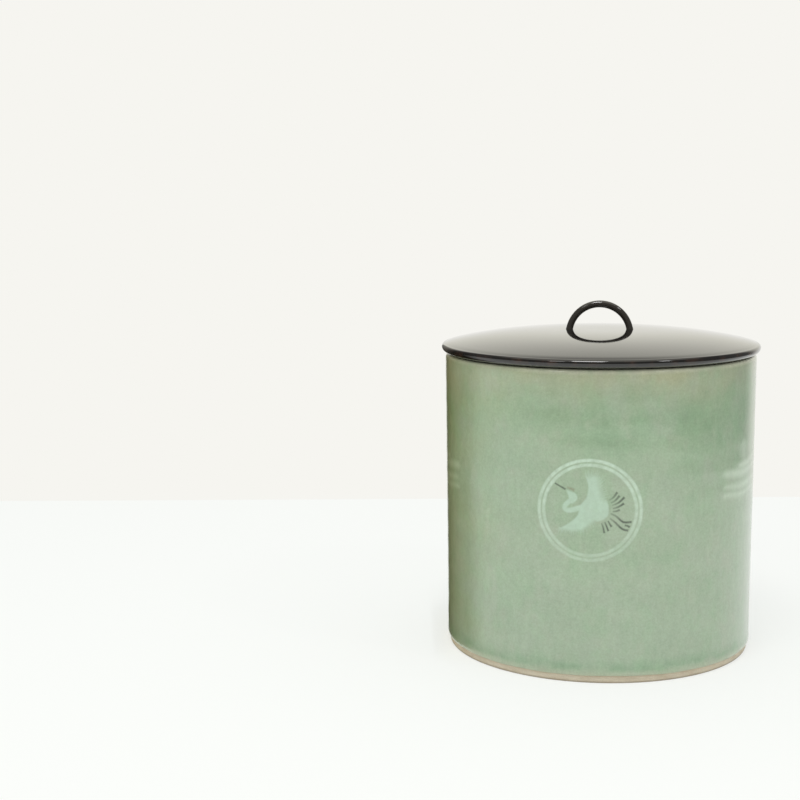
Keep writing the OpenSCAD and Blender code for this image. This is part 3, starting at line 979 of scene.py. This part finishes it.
def add_floor():
    corners = [(x, FLOOR_FRONT, 0) for x in (FLOOR_LEFT, FLOOR_RIGHT)]
    corners += [(x, floor_edge_y(x), 0) for x in (FLOOR_RIGHT, FLOOR_LEFT)]
    mesh = bpy.data.meshes.new("floor")
    mesh.from_pydata(corners, [], [(0, 1, 2, 3)])
    material, tree, shader = new_material("floor")
    fill(tree, shader, {"Base Color": linear(FLOOR_COLOUR), **FLOOR_GLOSS})
    white = node(tree, "ShaderNodeEmission", {"Color": linear(FLOOR_COLOUR)})
    share = maths(tree, "MULTIPLY", seen_straight(tree), FLOOR_GLOW)
    both = node(tree, "ShaderNodeMixShader", {0: share, 1: shader.outputs[0], 2: white.outputs[0]})
    tree.links.new(both.outputs[0], tree.nodes["Material Output"].inputs["Surface"])
    mesh.materials.append(material)
    floor = bpy.data.objects.new("floor", mesh)
    bpy.context.scene.collection.objects.link(floor)


def card_material():
    """Seen from the jar's side and from near only, and dark in reflections."""
    material = bpy.data.materials.new("card")
    material.use_nodes = True
    tree = material.node_tree
    tree.nodes.clear()
    share = node(tree, "ShaderNodeAttribute", attribute_name=CARD_LAYER).outputs["Fac"]
    behind = node(tree, "ShaderNodeNewGeometry").outputs["Backfacing"]
    path = node(tree, "ShaderNodeLightPath").outputs
    height = height_over_foot(tree)
    near = ranged(tree, path["Ray Length"], CARD_NEAR * CARD_REACH, CARD_REACH, 1.0, 0.0)
    near = maths(tree, "MAXIMUM", near, path["Is Shadow Ray"])
    low = ranged(tree, height, *CARD_FADE_LOW, 0.0, 1.0)
    mirror_low = ranged(tree, height, *CARD_MIRROR_LOW, 0.0, 1.0)
    low = maths(tree, "MAXIMUM", low, maths(tree, "MULTIPLY", mirror_low, path["Is Glossy Ray"]))
    share = maths(tree, "MULTIPLY", maths(tree, "MULTIPLY", share, near), low)
    share = maths(tree, "MULTIPLY", share, maths(tree, "SUBTRACT", 1.0, behind))
    clear = node(tree, "ShaderNodeBsdfTransparent")
    colour = mixed(tree, path["Is Glossy Ray"], linear(CARD_COLOUR), linear(CARD_MIRROR_COLOUR))
    dark = node(tree, "ShaderNodeEmission", {"Color": colour})
    both = node(tree, "ShaderNodeMixShader", {0: share, 1: clear.outputs[0], 2: dark.outputs[0]})
    output = node(tree, "ShaderNodeOutputMaterial")
    tree.links.new(both.outputs[0], output.inputs["Surface"])
    return material


def add_card():
    """A card close to the left side, which the camera doesn't see, for the darker left edge of the jar."""
    ends = (CARD_L, CARD_FADE_HIGH[1])
    run, z = np.meshgrid(*(np.linspace(0, end, CARD_STEPS + 1) for end in ends))
    turn = math.radians(CARD_TURN)
    x = CARD_END.x + run * math.sin(turn) + CARD_TOE * smoothstep(CARD_TOE_H, 0, z)
    y = CARD_END.y + run * math.cos(turn)
    vertices = np.column_stack([x.ravel(), y.ravel(), z.ravel()])
    mesh = bpy.data.meshes.new("card")
    mesh.from_pydata(vertices.tolist(), [], grid_cells(run.shape).tolist())
    share = smoothstep(0, CARD_FADE_END, run) * smoothstep(CARD_L, CARD_L - CARD_FADE_END, run)
    share = share * smoothstep(*CARD_FADE_HIGH[::-1], z)
    layer = mesh.attributes.new(CARD_LAYER, "FLOAT", "POINT")
    layer.data.foreach_set("value", share.ravel().astype(np.float32))
    mesh.materials.append(card_material())
    card = bpy.data.objects.new("card", mesh)
    bpy.context.scene.collection.objects.link(card)
    card.visible_camera = False


def add_world():
    """Even light for the object. The camera sees the backdrop, and reflections a dim front as well."""
    world = bpy.data.worlds.new("studio")
    world.use_nodes = True
    bpy.context.scene.world = world
    tree = world.node_tree
    tree.nodes.clear()
    glossy = node(tree, "ShaderNodeLightPath").outputs["Is Glossy Ray"]
    way = node(tree, "ShaderNodeTexCoord").outputs["Generated"]
    direction = node(tree, "ShaderNodeSeparateXYZ", {0: way}).outputs
    front = ranged(tree, direction["Y"], *FRONT_FADE, 1.0, 0.0)
    below_ceiling = ranged(tree, direction["Z"], *CEILING_FADE, 1.0, 0.0)
    dim_share = maths(tree, "MULTIPLY", maths(tree, "MULTIPLY", front, below_ceiling), glossy)
    high = maths(tree, "MULTIPLY", ranged(tree, direction["Z"], *HIGH_FADE, 0.0, 1.0), glossy)
    dim = tuple(c * FRONT_DIM for c in linear(BACKDROP_COLOUR)[:3]) + (1.0,)
    backdrop = mixed(tree, high, linear(BACKDROP_COLOUR), linear(HIGH_BACKDROP_COLOUR))
    seen = node(tree, "ShaderNodeBackground", {"Color": mixed(tree, dim_share, backdrop, dim)})
    light = node(tree, "ShaderNodeBackground", {"Strength": ROOM_LIGHT, "Color": WHITE})
    inputs = {0: seen_straight(tree), 1: light.outputs[0], 2: seen.outputs[0]}
    both = node(tree, "ShaderNodeMixShader", inputs)
    output = node(tree, "ShaderNodeOutputWorld")
    tree.links.new(both.outputs[0], output.inputs["Surface"])


def add_lamp(name, place_m, size, power):
    data = bpy.data.lights.new(name, "AREA")
    data.size = size
    data.energy = power
    lamp = bpy.data.objects.new(name, data)
    lamp.location = place_m
    aim = LAMPS_AIM - lamp.location
    lamp.rotation_euler = aim.to_track_quat("-Z", "Y").to_euler()
    lamp.visible_camera = False
    bpy.context.scene.collection.objects.link(lamp)


# Camera, as fitted to the photograph: metres, degrees and millimetres
CAMERA_PLACE = Vector((0, -0.82848, 0.25266))
CAMERA_DOWN = 8.274
CAMERA_TURN = -7.475
CAMERA_ROLL = -0.524
LENS = 68.92
SENSOR = 36.0


def add_camera():
    down, turn, roll = (math.radians(a) for a in (CAMERA_DOWN, CAMERA_TURN, CAMERA_ROLL))
    ahead = Vector((math.sin(turn), math.cos(turn), 0))
    forward = ahead * math.cos(down) - Vector((0, 0, math.sin(down)))
    level = Vector((math.cos(turn), -math.sin(turn), 0))
    upright = level.cross(forward)
    right = level * math.cos(roll) + upright * math.sin(roll)
    up = upright * math.cos(roll) - level * math.sin(roll)
    data = bpy.data.cameras.new("camera")
    data.lens = LENS
    data.sensor_width = SENSOR
    camera = bpy.data.objects.new("camera", data)
    axes = Matrix((right, up, -forward)).transposed().to_4x4()
    camera.matrix_world = Matrix.Translation(CAMERA_PLACE) @ axes
    bpy.context.scene.collection.objects.link(camera)
    bpy.context.scene.camera = camera


add_floor()
add_card()
add_world()
for name, lamp in LAMPS.items():
    add_lamp(name, *lamp)
add_camera()
bpy.context.scene.view_settings.view_transform = "Standard"
